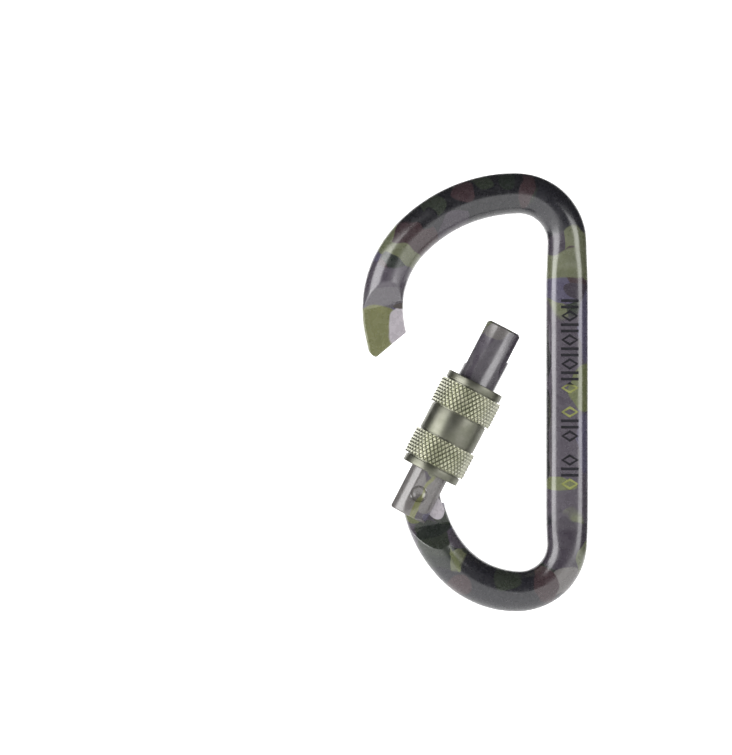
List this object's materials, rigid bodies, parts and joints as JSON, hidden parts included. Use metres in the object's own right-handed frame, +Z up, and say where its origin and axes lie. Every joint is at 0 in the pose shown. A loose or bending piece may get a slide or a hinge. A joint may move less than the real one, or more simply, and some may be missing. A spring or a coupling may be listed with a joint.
{
  "type": "locking carabiner",
  "caption": "Small D-shaped carabiner with a sprung slotted gate that opens inward and a knurled sleeve that screws over the nose to lock it.",
  "frame": {"origin": "the seat where a loop or rope hangs: the crest of the top bend's inner side, in the D's middle plane", "axes": "+Z up along the straight spine, +X from the gate towards the spine, +Y away from the front face, across the rod"},
  "size_m": [0.0413, 0.0118, 0.0799],
  "materials": {
    "camo_coat": "satin woodland camouflage coat on aluminium, in near-black navy, dark green, olive, khaki, maroon and mauve patches",
    "sleeve_anodised": "olive-grey satin anodised, knurled",
    "rivet_coat": "satin, coated together with the gate",
    "spring_steel": "bright drawn wire",
    "plunger_steel": "plain turned",
    "ring_steel": "plain drawn wire"
  },
  "bodies": {
    "frame": {"body_frame": "camo_coat"},
    "gate": {"gate": "camo_coat", "hinge_rivet": "rivet_coat", "gate_spring": "spring_steel"},
    "plunger": {"spring_plunger": "plunger_steel"},
    "stop_ring": {"sleeve_stop_ring": "ring_steel"},
    "sleeve": {"locking_sleeve": "sleeve_anodised"}
  },
  "joints": [
    {"name": "gate_hinge", "type": "hinge", "parent": "frame", "child": "gate", "pos_m": [-0.01804, 0, -0.05089], "axis": [0, 1, 0], "range_deg": [-39.1, 0], "stiffness_Nm_per_rad": 0.07, "springref_deg": -63.03},
    {"name": "plunger_slide", "type": "slide", "parent": "gate", "child": "plunger", "axis": [0.4602, 0, 0.8878], "range_m": [-0.00117, 0], "deforming": ["gate_spring"]},
    {"name": "sleeve_turn", "type": "hinge", "parent": "stop_ring", "child": "sleeve", "pos_m": [-0.01804, 0, -0.05089], "axis": [-0.4602, 0, -0.8878], "range_deg": [-2736.5, 0]},
    {"name": "sleeve_travel", "type": "slide", "parent": "gate", "child": "stop_ring", "axis": [-0.4602, 0, -0.8878], "range_m": [-0.0095, 0]}
  ],
  "couplings": [
    {"joint": "plunger_slide", "follows": "gate_hinge", "m_per_rad": 0.0016852},
    {"joint": "sleeve_turn", "follows": "sleeve_travel", "rad_per_m": 5026.5}
  ]
}
